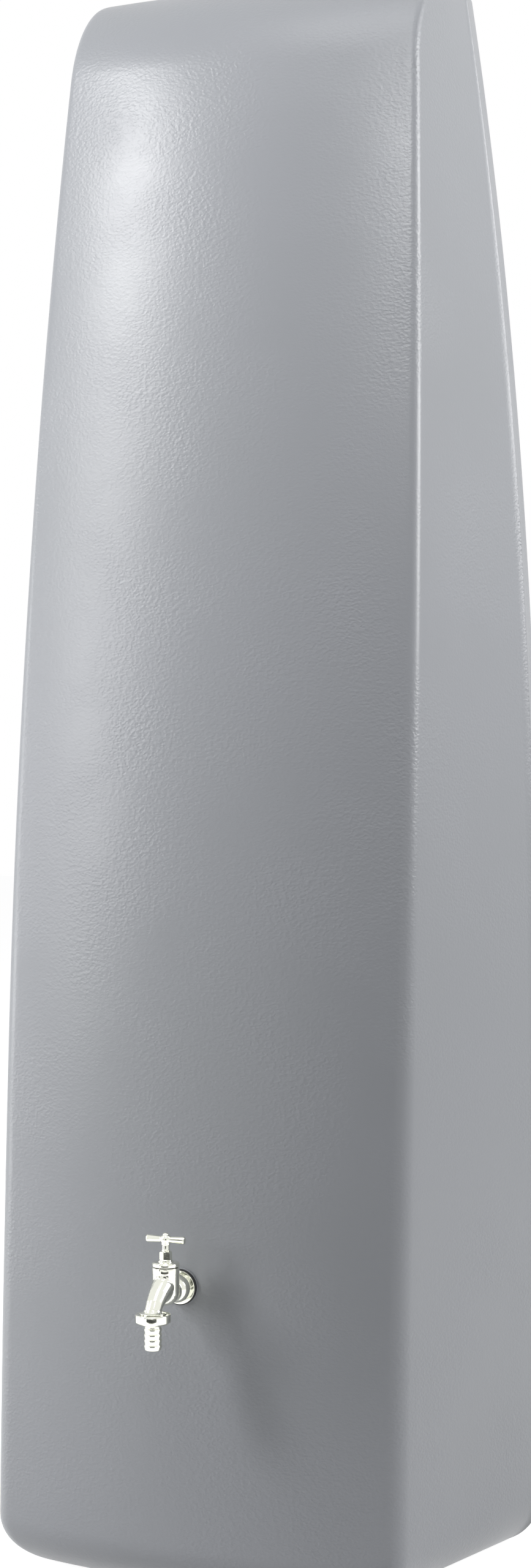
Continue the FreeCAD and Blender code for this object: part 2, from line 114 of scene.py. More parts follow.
def make_grained_polyethylene():
    material, tree, shader, place = new_finish(
        "grained_polyethylene_zinc_grey", {"IOR": 1.54, "Roughness": 0.4})
    flat = add_node(tree, "ShaderNodeMapping",
                    {"Scale": (1000 / GRAIN_WIDE, 1000 / GRAIN_WIDE, 1000 / GRAIN_TALL)},
                    {"Vector": (place, "Object")})
    warp = add_node(tree, "ShaderNodeTexNoise", {"Scale": 0.6, "Detail": 2.0},
                    {"Vector": (flat, "Vector")})
    bent = add_node(tree, "ShaderNodeVectorMath",
                    {"operation": "MULTIPLY_ADD", 1: (1.3, 1.3, 1.3)},
                    {0: (warp, "Color"), 2: (flat, "Vector")})
    pillows = add_node(tree, "ShaderNodeTexVoronoi",
                       {"feature": "SMOOTH_F1", "Scale": 1.0, "Smoothness": 0.6},
                       {"Vector": (bent, "Vector")})
    fine = add_node(tree, "ShaderNodeTexNoise", {"Scale": 1000 / GRAIN_FINE, "Detail": 2.0},
                    {"Vector": (place, "Object")})
    # the etching is a little deeper in some patches of the tool than in others
    patch = add_node(tree, "ShaderNodeTexNoise", {"Scale": 7.0, "Detail": 3.0},
                     {"Vector": (place, "Object")})
    depth = add_node(tree, "ShaderNodeMapRange", {"From Min": 0.35, "From Max": 0.65,
                                                  "To Min": 0.2, "To Max": 1.0},
                     {"Value": (patch, "Fac")})
    grain = add_node(tree, "ShaderNodeMath", {"operation": "MULTIPLY"},
                     {0: (pillows, "Distance"), 1: (depth, "Result")})
    both = add_node(tree, "ShaderNodeMath", {"operation": "MULTIPLY_ADD", 1: 0.25},
                    {0: (fine, "Fac"), 2: (grain, "Value")})
    bump = add_node(tree, "ShaderNodeBump", {"Strength": 0.7, "Distance": GRAIN_DEEP},
                    {"Height": (both, "Value")})
    tree.links.new(bump.outputs["Normal"], shader.inputs["Normal"])
    # colour drifts by a shade where the pigment has mixed unevenly
    drift = add_node(tree, "ShaderNodeTexNoise", {"Scale": 2.2, "Detail": 4.0},
                     {"Vector": (place, "Object")})
    colour = add_node(tree, "ShaderNodeMix", {"data_type": "RGBA", 6: linear("#95989B"),
                                              7: linear("#9B9DA3")},
                      {0: (drift, "Fac")})
    tree.links.new(colour.outputs[2], shader.inputs["Base Color"])
    gloss = add_node(tree, "ShaderNodeMapRange", {"From Min": 0.3, "From Max": 0.7,
                                                  "To Min": 0.31, "To Max": 0.39},
                     {"Value": (patch, "Fac")})
    tree.links.new(gloss.outputs["Result"], shader.inputs["Roughness"])
    return material


# %% [markdown]
# ## Smooth moulded polyethylene
# The lid comes from a small injection tool with a spark-eroded face: a fine, even frosting
# about half a millimetre across, with no leather grain.

# %% Frosted polyethylene
FROST = 0.5              # mm


def make_frosted_polyethylene():
    material, tree, shader, place = new_finish(
        "frosted_polyethylene_zinc_grey", {"IOR": 1.54, "Roughness": 0.45})
    frost = add_node(tree, "ShaderNodeTexNoise", {"Scale": 1000 / FROST, "Detail": 3.0},
                     {"Vector": (place, "Object")})
    bump = add_node(tree, "ShaderNodeBump", {"Strength": 0.25, "Distance": 0.0001},
                    {"Height": (frost, "Fac")})
    tree.links.new(bump.outputs["Normal"], shader.inputs["Normal"])
    drift = add_node(tree, "ShaderNodeTexNoise", {"Scale": 30.0, "Detail": 3.0},
                     {"Vector": (place, "Object")})
    colour = add_node(tree, "ShaderNodeMix", {"data_type": "RGBA", 6: linear("#828288"),
                                              7: linear("#8A8A90")}, {0: (drift, "Fac")})
    tree.links.new(colour.outputs[2], shader.inputs["Base Color"])
    return material


# %% [markdown]
# ## Moulded EPDM rubber
# Seals are pressed from black EPDM rubber. It is nearly matt, with a bloom of dust that
# makes some patches greyer.

# %% Black rubber
RUBBER_TOOTH = 0.4       # mm


def make_black_rubber():
    material, tree, shader, place = new_finish(
        "epdm_rubber_black", {"IOR": 1.52, "Roughness": 0.6})
    bloom = add_node(tree, "ShaderNodeTexNoise", {"Scale": 120.0, "Detail": 4.0},
                     {"Vector": (place, "Object")})
    colour = add_node(tree, "ShaderNodeMix", {"data_type": "RGBA", 6: linear("#101011"),
                                              7: linear("#242425")}, {0: (bloom, "Fac")})
    tree.links.new(colour.outputs[2], shader.inputs["Base Color"])
    skin = add_node(tree, "ShaderNodeTexNoise", {"Scale": 1000 / RUBBER_TOOTH, "Detail": 2.0},
                    {"Vector": (place, "Object")})
    bump = add_node(tree, "ShaderNodeBump", {"Strength": 0.2, "Distance": 0.0001},
                    {"Height": (skin, "Fac")})
    tree.links.new(bump.outputs["Normal"], shader.inputs["Normal"])
    return material


# %% [markdown]
# ## Chromium plate on polished brass
# The castings are ground, buffed and plated. Chromium reflects about two thirds of the light
# with a cool tint, and is drawn here a little brighter, as a freshly buffed tap looks. Buffing
# leaves a faint orange peel, a few millimetres wide, that makes reflections swim, and wiping
# leaves patches that are very slightly duller.

# %% Chromium plate
ORANGE_PEEL = 5.0        # mm


def make_chromium_plate():
    material, tree, shader, place = new_finish(
        "chromium_plate_on_brass",
        {"Base Color": linear("#EDEEE2"), "Metallic": 1.0, "Roughness": 0.08})
    peel = add_node(tree, "ShaderNodeTexNoise", {"Scale": 1000 / ORANGE_PEEL, "Detail": 1.0},
                    {"Vector": (place, "Object")})
    bump = add_node(tree, "ShaderNodeBump", {"Strength": 0.12, "Distance": 0.0004},
                    {"Height": (peel, "Fac")})
    tree.links.new(bump.outputs["Normal"], shader.inputs["Normal"])
    wipe = add_node(tree, "ShaderNodeTexNoise", {"Scale": 90.0, "Detail": 4.0},
                    {"Vector": (place, "Object")})
    gloss = add_node(tree, "ShaderNodeMapRange", {"From Min": 0.3, "From Max": 0.7,
                                                  "To Min": 0.05, "To Max": 0.13},
                     {"Value": (wipe, "Fac")})
    tree.links.new(gloss.outputs["Result"], shader.inputs["Roughness"])
    return material


# %% [markdown]
# ## Zinc-plated steel and turned brass
# The wall brackets are cut from galvanised sheet: bluish grey, with a spangle of crystals a
# few millimetres wide that differ in gloss. The inserts are turned from brass bar and have
# fine rings from the tool.

# %% Zinc and brass
SPANGLE = 5.0            # mm
TOOL_MARK = 0.8          # mm from one turned ring to the next


def make_zinc_plate():
    material, tree, shader, place = new_finish(
        "galvanised_steel", {"Metallic": 1.0, "Roughness": 0.4})
    spangle = add_node(tree, "ShaderNodeTexVoronoi", {"Scale": 1000 / SPANGLE},
                       {"Vector": (place, "Object")})
    colour = add_node(tree, "ShaderNodeMix", {"data_type": "RGBA", 6: linear("#A9ADB0"),
                                              7: linear("#BEC2C4")}, {0: (spangle, "Color")})
    tree.links.new(colour.outputs[2], shader.inputs["Base Color"])
    gloss = add_node(tree, "ShaderNodeMapRange", {"To Min": 0.3, "To Max": 0.5},
                     {"Value": (spangle, "Color")})
    tree.links.new(gloss.outputs["Result"], shader.inputs["Roughness"])
    return material


def make_turned_brass():
    material, tree, shader, place = new_finish(
        "turned_brass", {"Metallic": 1.0, "Roughness": 0.28})
    dull = add_node(tree, "ShaderNodeTexNoise", {"Scale": 150.0, "Detail": 4.0},
                    {"Vector": (place, "Object")})
    colour = add_node(tree, "ShaderNodeMix", {"data_type": "RGBA", 6: linear("#C9A45C"),
                                              7: linear("#D8B876")}, {0: (dull, "Fac")})
    tree.links.new(colour.outputs[2], shader.inputs["Base Color"])
    rings = add_node(tree, "ShaderNodeTexWave",
                     {"bands_direction": "Z", "Scale": 1000 / TOOL_MARK / (2 * math.pi)},
                     {"Vector": (place, "Object")})
    bump = add_node(tree, "ShaderNodeBump", {"Strength": 0.15, "Distance": 0.0001},
                    {"Height": (rings, "Fac")})
    tree.links.new(bump.outputs["Normal"], shader.inputs["Normal"])
    return material


TANK = make_grained_polyethylene()
LID = make_frosted_polyethylene()
RUBBER = make_black_rubber()
CHROME = make_chromium_plate()
ZINC = make_zinc_plate()
BRASS = make_turned_brass()
print("finishes:", [m.name for m in (TANK, LID, RUBBER, CHROME, ZINC, BRASS)])

# %% [markdown]
# ## The camera
# Tall things are best seen from a few metres away through a short telephoto lens, so that
# upright edges stay upright. The camera stands 22 degrees round to the tank's right, at hip
# height, and looks a little down.

# %% Camera
AZIMUTH = math.radians(22)
CAMERA_AWAY = 3.5
CAMERA_UP = 1.0
AIM_UP = 0.9017
AIM_RIGHT = 0.019
LENS = 68.7              # mm, on a sensor 36 mm wide
right = Vector((math.cos(AZIMUTH), math.sin(AZIMUTH), 0))
eye = Vector((CAMERA_AWAY * math.sin(AZIMUTH), -CAMERA_AWAY * math.cos(AZIMUTH), CAMERA_UP))
aim = Vector((0, 0, AIM_UP)) + right * AIM_RIGHT

camera = bpy.data.objects.new("camera", bpy.data.cameras.new("camera"))
bpy.context.scene.collection.objects.link(camera)
camera.location = eye
camera.rotation_euler = (aim - eye).to_track_quat("-Z", "Y").to_euler()
camera.data.lens = LENS
camera.data.sensor_width = 36
bpy.context.scene.camera = camera
bpy.context.scene.view_settings.view_transform = "Standard"
print("camera at", tuple(round(c, 3) for c in eye))

# %% [markdown]
# ## Floor, sky and lamps
# The tank stands in a white studio. The world is plain white where the camera or a mirror
# looks at it, and dimmer as a source of light. The key lamp is a tall soft box, high on the
# left: it draws the bright patch at the top left of the bowed front and throws the tap's
# shadow down to the right, and a taller one below it carries the band on down the front. One
# on the right opens up the side, and a small gridded one draws the upper right arris.

# %% World and floor


def see_white(tree):
    """1 where a camera, glossy or transmitted ray looks, 0 for light on the object."""
    path = add_node(tree, "ShaderNodeLightPath")
    first = add_node(tree, "ShaderNodeMath", {"operation": "MAXIMUM"},
                     {0: (path, "Is Camera Ray"), 1: (path, "Is Glossy Ray")})
    return add_node(tree, "ShaderNodeMath", {"operation": "MAXIMUM"},
                    {0: (first, "Value"), 1: (path, "Is Transmission Ray")})


world = bpy.data.worlds.new("studio")
bpy.context.scene.world = world
world.use_nodes = True
sky = world.node_tree
sky.nodes.clear()
lighting = add_node(sky, "ShaderNodeBackground", {"Color": linear("#F4F6FA"), "Strength": 0.11})
white = add_node(sky, "ShaderNodeBackground", {"Color": (1, 1, 1, 1), "Strength": 1.0})
seen = add_node(sky, "ShaderNodeMixShader", None, {0: (see_white(sky), "Value"),
                                                   1: (lighting, 0), 2: (white, 0)})
add_node(sky, "ShaderNodeOutputWorld", None, {"Surface": (seen, 0)})

FLOOR_SIZE = 24.0        # m
floor_paint = bpy.data.materials.new("studio_floor_white")
floor_paint.use_nodes = True
paint = floor_paint.node_tree
paint.nodes.clear()
matt = add_node(paint, "ShaderNodeBsdfDiffuse", {"Color": linear("#D2D2D2")})
lift = add_node(paint, "ShaderNodeMath", {"operation": "MULTIPLY", 1: 0.91},
                {0: (see_white(paint), "Value")})
glow = add_node(paint, "ShaderNodeEmission", {"Color": (1, 1, 1, 1)},
                {"Strength": (lift, "Value")})
mixed = add_node(paint, "ShaderNodeAddShader", None, {0: (matt, 0), 1: (glow, 0)})
add_node(paint, "ShaderNodeOutputMaterial", None, {"Surface": (mixed, 0)})

floor_mesh = bpy.data.meshes.new("floor")
half = FLOOR_SIZE / 2
floor_mesh.from_pydata([(-half, -half, 0), (half, -half, 0), (half, half, 0), (-half, half, 0)],
                       [], [(0, 1, 2, 3)])
floor = bpy.data.objects.new("floor", floor_mesh)
bpy.context.scene.collection.objects.link(floor)
floor_mesh.materials.append(floor_paint)

# %% Lamps


def soft_box(name, place, target, wide, tall, power, spread=180):
    """An area lamp, wide by tall metres, aimed at the target. A grid narrows its spread."""
    data = bpy.data.lights.new(name, "AREA")
    data.shape = "RECTANGLE"
    data.size = wide
    data.size_y = tall
    data.energy = power
    data.spread = math.radians(spread)
    lamp = bpy.data.objects.new(name, data)
    bpy.context.scene.collection.objects.link(lamp)
    lamp.location = place
    lamp.rotation_euler = (Vector(target) - Vector(place)).to_track_quat("-Z", "Y").to_euler()
    return lamp


soft_box("key_left_high", (-2.08, -1.9, 2.85), (0, -0.2, 0.9), 0.4, 0.9, 46)
soft_box("band_left", (-2.4, -2.1, 1.6), (0, -0.2, 0.8), 0.4, 1.5, 30)
soft_box("side_left", (-3.2, -0.5, 0.8), (0, -0.1, 0.7), 0.8, 1.8, 27)
soft_box("side_right", (3.2, 0.9, 2.4), (0, 0, 1.4), 1.0, 2.0, 92)
soft_box("corner_right", (1.25, -2.65, 3.3), (0.2, -0.05, 1.95), 0.3, 0.6, 3.0, 50)
soft_box("top", (0.2, -1.2, 4.2), (0, 0, 1.4), 1.4, 1.4, 22)


def dark_card(name, place, target, wide, tall):
    """A sheet of grey felt that only mirrors see, so polished metal gets dark lines to reflect."""
    mesh = bpy.data.meshes.new(name)
    x, y = wide / 2, tall / 2
    mesh.from_pydata([(-x, -y, 0), (x, -y, 0), (x, y, 0), (-x, y, 0)], [], [(0, 1, 2, 3)])
    card = bpy.data.objects.new(name, mesh)
    bpy.context.scene.collection.objects.link(card)
    card.location = place
    card.rotation_euler = (Vector(target) - Vector(place)).to_track_quat("-Z", "Y").to_euler()
    for ray in ("camera", "diffuse", "shadow", "transmission", "volume_scatter"):
        setattr(card, "visible_" + ray, False)
    mesh.materials.append(FELT)


FELT, _, _, _ = new_finish("studio_felt_dark_grey", {"Base Color": linear("#4A4C4A"),
                                                     "Roughness": 0.9})
dark_card("card_behind_camera", (1.5, -4.6, 0.8), (0, -0.25, 0.4), 2.4, 1.5)
dark_card("card_left", (-1.3, -2.6, 0.5), (0, -0.25, 0.35), 0.3, 1.4)
dark_card("card_low", (0.3, -1.5, 0.02), (0, -0.25, 0.35), 1.6, 0.3)

# %% [markdown]
# ## The tank's shape
# The moulding has no flat patch to start from, so it isn't boxed out and subdivided. Like a
# boat it is faired through level outlines: a few formulas give the reach of the front, the
# half widths and the radii at any height, and the outline at that height follows. Rows of
# points stand close together in the roundings and further apart between them. The same is
# done 5 mm further in for the inner skin, and both meet in the filling neck, so the shell is
# closed and has real walls.

# %% Formulas of the moulding, in millimetres
HEIGHT = 1840.0          # floor to deck
WALL = 5.0
BACK = 190.0             # flat rear face
SEAM = 141.0             # mould seam, where the tank is widest
FRONT_FOOT = 172.0       # reach of the front corners at the floor
FRONT_LEAN = 30.0
FRONT_SWEEP = 30.0
FRONT_HALF = 246.0       # half width between the front corners at the floor
TAPER_FROM = 600.0
FRONT_TAPER = 23.0
REAR_HALF = 309.5
REAR_TAPER = 15.5
SEAM_STEP = 4.0
BOW_RADIUS = 660.0       # the front is bowed, seen from above
CROWN_RADIUS = 130.0     # the front rolls over into the deck
CROWN_BOW = 24.0
CROWN_BLEND = 190.0
FOOT_RADIUS = 60.0
REAR_FOOT_RADIUS = 25.0
DECK_EDGE = 12.0
CORNER_TOP = 12.0
CORNER_GROWTH = 24.0
REAR_CORNER = 22.0


def front_reach(z):
    metres = z / 1000
    return FRONT_FOOT - FRONT_LEAN * metres - FRONT_SWEEP * metres ** 2


def front_half(z):
    return FRONT_HALF - FRONT_TAPER * (max(0.0, z - TAPER_FROM) / 1000) ** 2


def rear_half(z):
    return REAR_HALF - REAR_TAPER * (z / 1000) ** 3


def bow(z, half_width):
    """How far the middle of the front stands ahead of its corners."""
    free = half_width ** 2 / (2 * BOW_RADIUS)
    part = min(1.0, max(0.0, (z - HEIGHT + CROWN_BLEND) / CROWN_BLEND))
    return free + (CROWN_BOW - free) * part * part * (3 - 2 * part)


def tuck(radius, beyond):
    """How far a rounding has pulled the wall in, this far past its start."""
    if beyond <= 0:
        return 0.0
    return radius - math.sqrt(max(0.0, radius ** 2 - beyond ** 2))


CROWN_LEAN = math.atan((FRONT_LEAN + 2 * FRONT_SWEEP * (HEIGHT - CROWN_RADIUS) / 1000) / 1000)
CROWN_START = HEIGHT - CROWN_RADIUS * (1 - math.sin(CROWN_LEAN))
CROWN_Y = CROWN_RADIUS * math.cos(CROWN_LEAN) - front_reach(CROWN_START)


def side_corners(z, inset):
    """Half width and reach of the front corner, half widths at the seam and at the rear."""
    reach = front_reach(z) - inset
    half_width = front_half(z) - inset
    rear = rear_half(z) - inset
    seam = rear + SEAM_STEP
    forward = reach
    if z > CROWN_START:
        radius = CROWN_RADIUS - inset
        rise = min(radius, z - HEIGHT + CROWN_RADIUS)
        forward = math.sqrt(radius ** 2 - rise ** 2) - CROWN_Y
    half_width += (seam - half_width) * (reach - forward) / (SEAM + reach)
    return half_width, forward, seam, rear


# %% [markdown]
# An outline is drawn for the right half only, from the middle of the front to the middle of
# the back, and mirrored. Arcs are sampled evenly by angle. Along the mould seam, where the
# two halves of the tool close, a bead as high as half a millimetre is left on the skin.

# %% One level outline
SEAM_BEAD = 0.5
SEAM_BEAD_HALF = 1.1


def arc_corner(before, corner, after, radius, count):
    """Points of the arc that rounds a corner between two straight lines."""
    back = (before - corner).normalized()
    ahead = (after - corner).normalized()
    opening = back.angle(ahead) / 2
    centre = corner + (back + ahead).normalized() * (radius / math.sin(opening))
    start = corner + back * (radius / math.tan(opening)) - centre
    end = corner + ahead * (radius / math.tan(opening)) - centre
    sweep = math.pi - 2 * opening
    points = []
    for i in range(count + 1):
        t = i / count
        point = start * math.sin((1 - t) * sweep) + end * math.sin(t * sweep)
        points.append(centre + point / math.sin(sweep))
    return points


def level_outline(z, inset, coarse):
    """Closed outline at height z as a list of (x, y), anticlockwise from the front's middle."""
    half_width, forward, seam, rear = side_corners(z, inset)
    foot = FOOT_RADIUS - inset
    rear_foot = REAR_FOOT_RADIUS - inset
    edge = DECK_EDGE - inset
    top_in = tuck(edge, z - HEIGHT + DECK_EDGE)
    foot_in = tuck(foot, foot + inset - z)
    half_width -= top_in + foot_in
    seam -= top_in + foot_in
    rear -= top_in + foot_in
    forward -= foot_in
    back = BACK - inset - top_in - tuck(rear_foot, rear_foot + inset - z)
    bowed = bow(z, half_width)
    turn = 2 * math.atan(bowed / half_width)
    corner = Vector((half_width, -forward))
    seam_at = Vector((seam, SEAM))
    rear_at = Vector((rear, back))
    before = corner - Vector((math.cos(turn), math.sin(turn))) * 50
    radius = CORNER_TOP + CORNER_GROWTH * (1 - z / HEIGHT) - inset
    round_front = arc_corner(before, corner, seam_at, radius, 10 // coarse)
    round_rear = arc_corner(seam_at, rear_at, Vector((0, back)), REAR_CORNER - inset,
                            10 // coarse)
    # the front is an arc through its middle that ends where the corner begins
    first = round_front[0]
    apex = forward + bowed
    rise = apex + first.y
    radius = (first.x ** 2 + rise ** 2) / (2 * rise)
    spread = math.asin(first.x / radius)
    columns = 44 // coarse
    right_half = []
    for i in range(columns):
        angle = spread * i / columns
        right_half.append(Vector((radius * math.sin(angle),
                                  -apex + radius * (1 - math.cos(angle)))))
    right_half += round_front
    side = (seam_at - round_front[-1]).normalized()
    outward = Vector((side.y, -side.x))
    steps = 14 // coarse
    for i in range(1, steps):
        right_half.append(round_front[-1].lerp(seam_at - side * SEAM_BEAD_HALF * 2, i / steps))
    bead = 0.0 if inset else SEAM_BEAD
    for along, up in ((-1, 0), (-0.5, 0.75), (0, 1), (0.5, 0.75), (1, 0)):
        right_half.append(seam_at + side * SEAM_BEAD_HALF * along + outward * bead * up)
    right_half.append(seam_at.lerp(round_rear[0], 0.5))
    right_half += round_rear
    for i in range(1, 9):
        right_half.append(Vector((round_rear[-1].x * (1 - i / 8), back)))
    left_half = [Vector((-p.x, p.y)) for p in right_half[-2:0:-1]]
    return right_half + left_half


def level_heights(inset, coarse):
    foot = FOOT_RADIUS - inset
    crown = CROWN_RADIUS - inset
    foot_steps, rows, crown_steps = 16 // coarse, 96 // coarse, 36 // coarse
    low = [inset + foot * (1 - math.cos(math.pi / 2 * i / foot_steps))
           for i in range(foot_steps + 1)]
    span = CROWN_START - FOOT_RADIUS
    middle = [FOOT_RADIUS + span * i / rows for i in range(1, rows)]
    high = []
    for i in range(crown_steps + 1):
        angle = CROWN_LEAN + (math.pi / 2 - CROWN_LEAN) * i / crown_steps
        high.append(HEIGHT - CROWN_RADIUS + crown * math.sin(angle))
    return low + middle + high


print("rows of the outer skin:", len(level_heights(0, 1)),
      "points in each:", len(level_outline(900, 0, 1)))

# %% [markdown]
# ## From outlines to a closed shell
# Each skin is a stack of rings. The outer one is closed by the foot below and by the deck
# above, where the filling neck leaves a round hole. The neck itself is turned: a small
# fillet, an upright wall with a screw thread, a rounded rim, and the bore that leads down
# to the inner skin.

# %% Mesh helpers


def finish_piece(name, mesh, material, sharp=35):
    """Makes an object of a mesh, shades it smooth except over sharp edges, gives it a finish."""
    mesh.materials.clear()
    mesh.materials.append(material)
    mesh.shade_smooth()
    mesh.set_sharp_from_angle(angle=math.radians(sharp))
    piece = bpy.data.objects.new(name, mesh)
    bpy.context.scene.collection.objects.link(piece)
    return piece


def mesh_of(bm, name):
    bmesh.ops.recalc_face_normals(bm, faces=bm.faces)
    mesh = bpy.data.meshes.new(name)
    bm.to_mesh(mesh)
    bm.free()
    return mesh


def ring_of(bm, points):
    return [bm.verts.new(p) for p in points]


def skin_between(bm, lower, upper):
    """Quads between two closed rings of the same length."""
    count = len(lower)
    for i in range(count):
        j = (i + 1) % count
        bm.faces.new((lower[i], lower[j], upper[j], upper[i]))


def edges_round(bm, ring):
    return [bm.edges.get((ring[i], ring[(i + 1) % len(ring)])) for i in range(len(ring))]


# %% Tank shell
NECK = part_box("lid_seal")
NECK_X, NECK_Y = 0.0, (NECK[0][1] + NECK[1][1]) / 2 / MM
NECK_OUTER, NECK_BORE, NECK_RISE = 51.0, 46.0, 20.0
NECK_FILLET = 3.0
NECK_POINTS = 96
THREAD_DEEP = 1.4        # mm, two-start thread, 6 mm pitch
THREAD_LEAD = 12.0
WAVE = 0.18              # mm, slow unevenness of the moulded skin


def uneven(x, y, z):
    """Slow swell of the skin, in millimetres, so that highlights aren't ruler-straight."""
    return WAVE * noise.noise(Vector((x, y, z * 0.6)) * (1 / 90.0))


def tank_skin(bm, inset, coarse):
    """Rings of one skin. Returns the lowest and the highest."""
    rings = []
    for z in level_heights(inset, coarse):
        points = []
        for p in level_outline(z, inset, coarse):
            swell = 1.0
            if inset == 0 and FOOT_RADIUS < z < CROWN_START:
                swell = 1 + uneven(p.x, p.y, z) / 300
            points.append(Vector((p.x * swell, p.y * (swell if p.y < SEAM else 1.0), z)) * MM)
        rings.append(ring_of(bm, points))
        if len(rings) > 1:
            skin_between(bm, rings[-2], rings[-1])
    return rings[0], rings[-1]


def neck_ring(bm, radius, z, thread=False):
    points = []
    for i in range(NECK_POINTS):
        angle = 2 * math.pi * i / NECK_POINTS
        r = radius
        if thread:
            turns = (z - HEIGHT) / (THREAD_LEAD / 2) - 2 * i / NECK_POINTS
            wave = max(0.0, math.cos(2 * math.pi * turns))
            ends = min(1.0, (z - HEIGHT - 5) / 2, (HEIGHT + NECK_RISE - 2.5 - z) / 2)
            r += THREAD_DEEP * wave ** 0.7 * max(0.0, ends)
        points.append(Vector((NECK_X + r * math.cos(angle), NECK_Y + r * math.sin(angle), z)) * MM)
    return ring_of(bm, points)


def make_tank_shell():
    bm = bmesh.new()
    foot_outer, deck_outer = tank_skin(bm, 0, 1)
    foot_inner, deck_inner = tank_skin(bm, WALL, 2)
    for ring in (foot_outer, foot_inner):
        bm.faces.new(ring)
    # neck: (radius, height, threaded) from the deck's fillet over the rim and down the bore
    top = HEIGHT + NECK_RISE
    stations = []
    for i in range(7):
        angle = math.pi / 2 * i / 6
        stations.append((NECK_OUTER + NECK_FILLET * (1 - math.sin(angle)),
                         HEIGHT + NECK_FILLET * (1 - math.cos(angle)), False))
    z = HEIGHT + NECK_FILLET + 0.6
    while z < top - 1.2:
        stations.append((NECK_OUTER, z, True))
        z += 0.6
    for i in range(5):
        angle = math.pi / 2 * i / 4
        stations.append((NECK_OUTER - 1 + math.cos(angle), top - 1 + math.sin(angle), False))
    for i in range(5):
        angle = math.pi / 2 * i / 4
        stations.append((NECK_BORE + 1 - math.sin(angle), top - 1 + math.cos(angle), False))
    stations.append((NECK_BORE, HEIGHT - WALL, False))
    rings = [neck_ring(bm, *s) for s in stations]
    for lower, upper in zip(rings, rings[1:]):
        skin_between(bm, lower, upper)
    for deck, neck in ((deck_outer, rings[0]), (deck_inner, rings[-1])):
        edges = edges_round(bm, deck) + edges_round(bm, neck)
        bmesh.ops.triangle_fill(bm, use_beauty=True, use_dissolve=False, edges=edges)
    return mesh_of(bm, "tank_shell")


tank_mesh = make_tank_shell()
tank = finish_piece("tank_shell", tank_mesh, TANK, 40)
print("tank shell:", len(tank_mesh.polygons), "faces")

# %% [markdown]
# ## Tap pad and inlet hole
# Two features break the skin. A round pad, flat and upright, gives the tap's seal a level
# seat on the leaning, bowed front. On the left side, near the top, a hole takes the rubber
# seal for the filling hose. A real moulding has them in the tool; here they are added and cut
# with exact booleans, which keep the shell closed.

# %% Boolean pad and hole
PAD_RADIUS = 21.0
INLET_HOLE = 20.1        # mm, radius
gasket_low, gasket_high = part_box("tap_gasket")
PAD_Y = gasket_high[1] / MM
TAP_Z = (gasket_low[2] + gasket_high[2]) / 2 / MM
inlet_mount = next(m for m in frame["record"]["mounts"] if m["name"] == "inlet_bore")
INLET_AT = Vector(inlet_mount["pos_m"])
INLET_OUT = Vector(inlet_mount["axis"]).normalized()


def lathe(profile, centre, axis, steps=64, scallop=None):
    """Solid of revolution in millimetres. profile: closed list of (radius, distance)."""
    bm = bmesh.new()
    turn = Vector((0, 0, 1)).rotation_difference(Vector(axis).normalized())
    rings = []
    for radius, height in profile:
        if radius < 1e-6:
            rings.append([bm.verts.new((turn @ Vector((0, 0, height)) + Vector(centre)) * MM)])
            continue
        ring = []
        for i in range(steps):
            angle = 2 * math.pi * i / steps
            r = radius if scallop is None else scallop(radius, height, angle)
            local = Vector((r * math.cos(angle), r * math.sin(angle), height))
            ring.append(bm.verts.new((turn @ local + Vector(centre)) * MM))
        rings.append(ring)
    closed = rings if len(rings[0]) == 1 and len(rings[-1]) == 1 else rings + [rings[0]]
    for one, two in zip(closed, closed[1:]):
        if len(one) == 1 and len(two) == 1:
            continue
        for i in range(steps):
            j = (i + 1) % steps
            a = (one[0], one[0]) if len(one) == 1 else (one[i], one[j])
            b = (two[0], two[0]) if len(two) == 1 else (two[i], two[j])
            corners = list(dict.fromkeys((a[0], a[1], b[1], b[0])))
            bm.faces.new(corners)
    return mesh_of(bm, "turned")


def rounded(points, radius, steps=4):
    """Rounds the corners of an open or closed profile by this much, leaving axis points."""
    out = []
    count = len(points)
    for i, (r, h) in enumerate(points):
        if r < 1e-6:
            out.append((r, h))
            continue
        here = Vector((r, h))
        before = Vector(points[i - 1])
        after = Vector(points[(i + 1) % count])
        reach = min(radius, (before - here).length * 0.45, (after - here).length * 0.45)
        a = here + (before - here).normalized() * reach
        b = here + (after - here).normalized() * reach
        for k in range(steps + 1):
            t = k / steps
            p = a * (1 - t) ** 2 + here * 2 * t * (1 - t) + b * t * t
            out.append((p.x, p.y))
    return out


def boolean(target, tool_mesh, operation):
    """Applies one exact boolean with a tool mesh and removes the tool."""
    tool = bpy.data.objects.new("tool", tool_mesh)
    bpy.context.scene.collection.objects.link(tool)
    change = target.modifiers.new("change", "BOOLEAN")
    change.operation = operation
    change.solver = "EXACT"
    change.object = tool
    bpy.context.view_layer.update()
    result = bpy.data.meshes.new_from_object(
        target.evaluated_get(bpy.context.evaluated_depsgraph_get()))
    target.modifiers.clear()
    target.data = result
    bpy.data.objects.remove(tool)


pad = lathe(rounded([(0, -6), (PAD_RADIUS, -6), (PAD_RADIUS, 0), (0, 0)], 1.0),
            (0, PAD_Y, TAP_Z), (0, -1, 0), 96)
boolean(tank, pad, "UNION")
hole = lathe([(0, -25), (INLET_HOLE, -25), (INLET_HOLE, 25), (0, 25)], INLET_AT / MM,
             INLET_OUT, 96)
boolean(tank, hole, "DIFFERENCE")
tank.data.materials.clear()
tank.data.materials.append(TANK)
tank.data.shade_smooth()
tank.data.set_sharp_from_angle(angle=math.radians(40))
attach(tank, "tank")
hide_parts("tank_body")
print("after the booleans:", len(tank.data.polygons), "faces")

# %% [markdown]
# ## Screw lid
# The lid is injection moulded: a disc with a raised rim, a skirt with scallops for the
# fingers, and a bar across the top to turn it by. The scallops could be modelled one by one;
# here the skirt's radius is a wave round the turned form, which gives them soft roots.

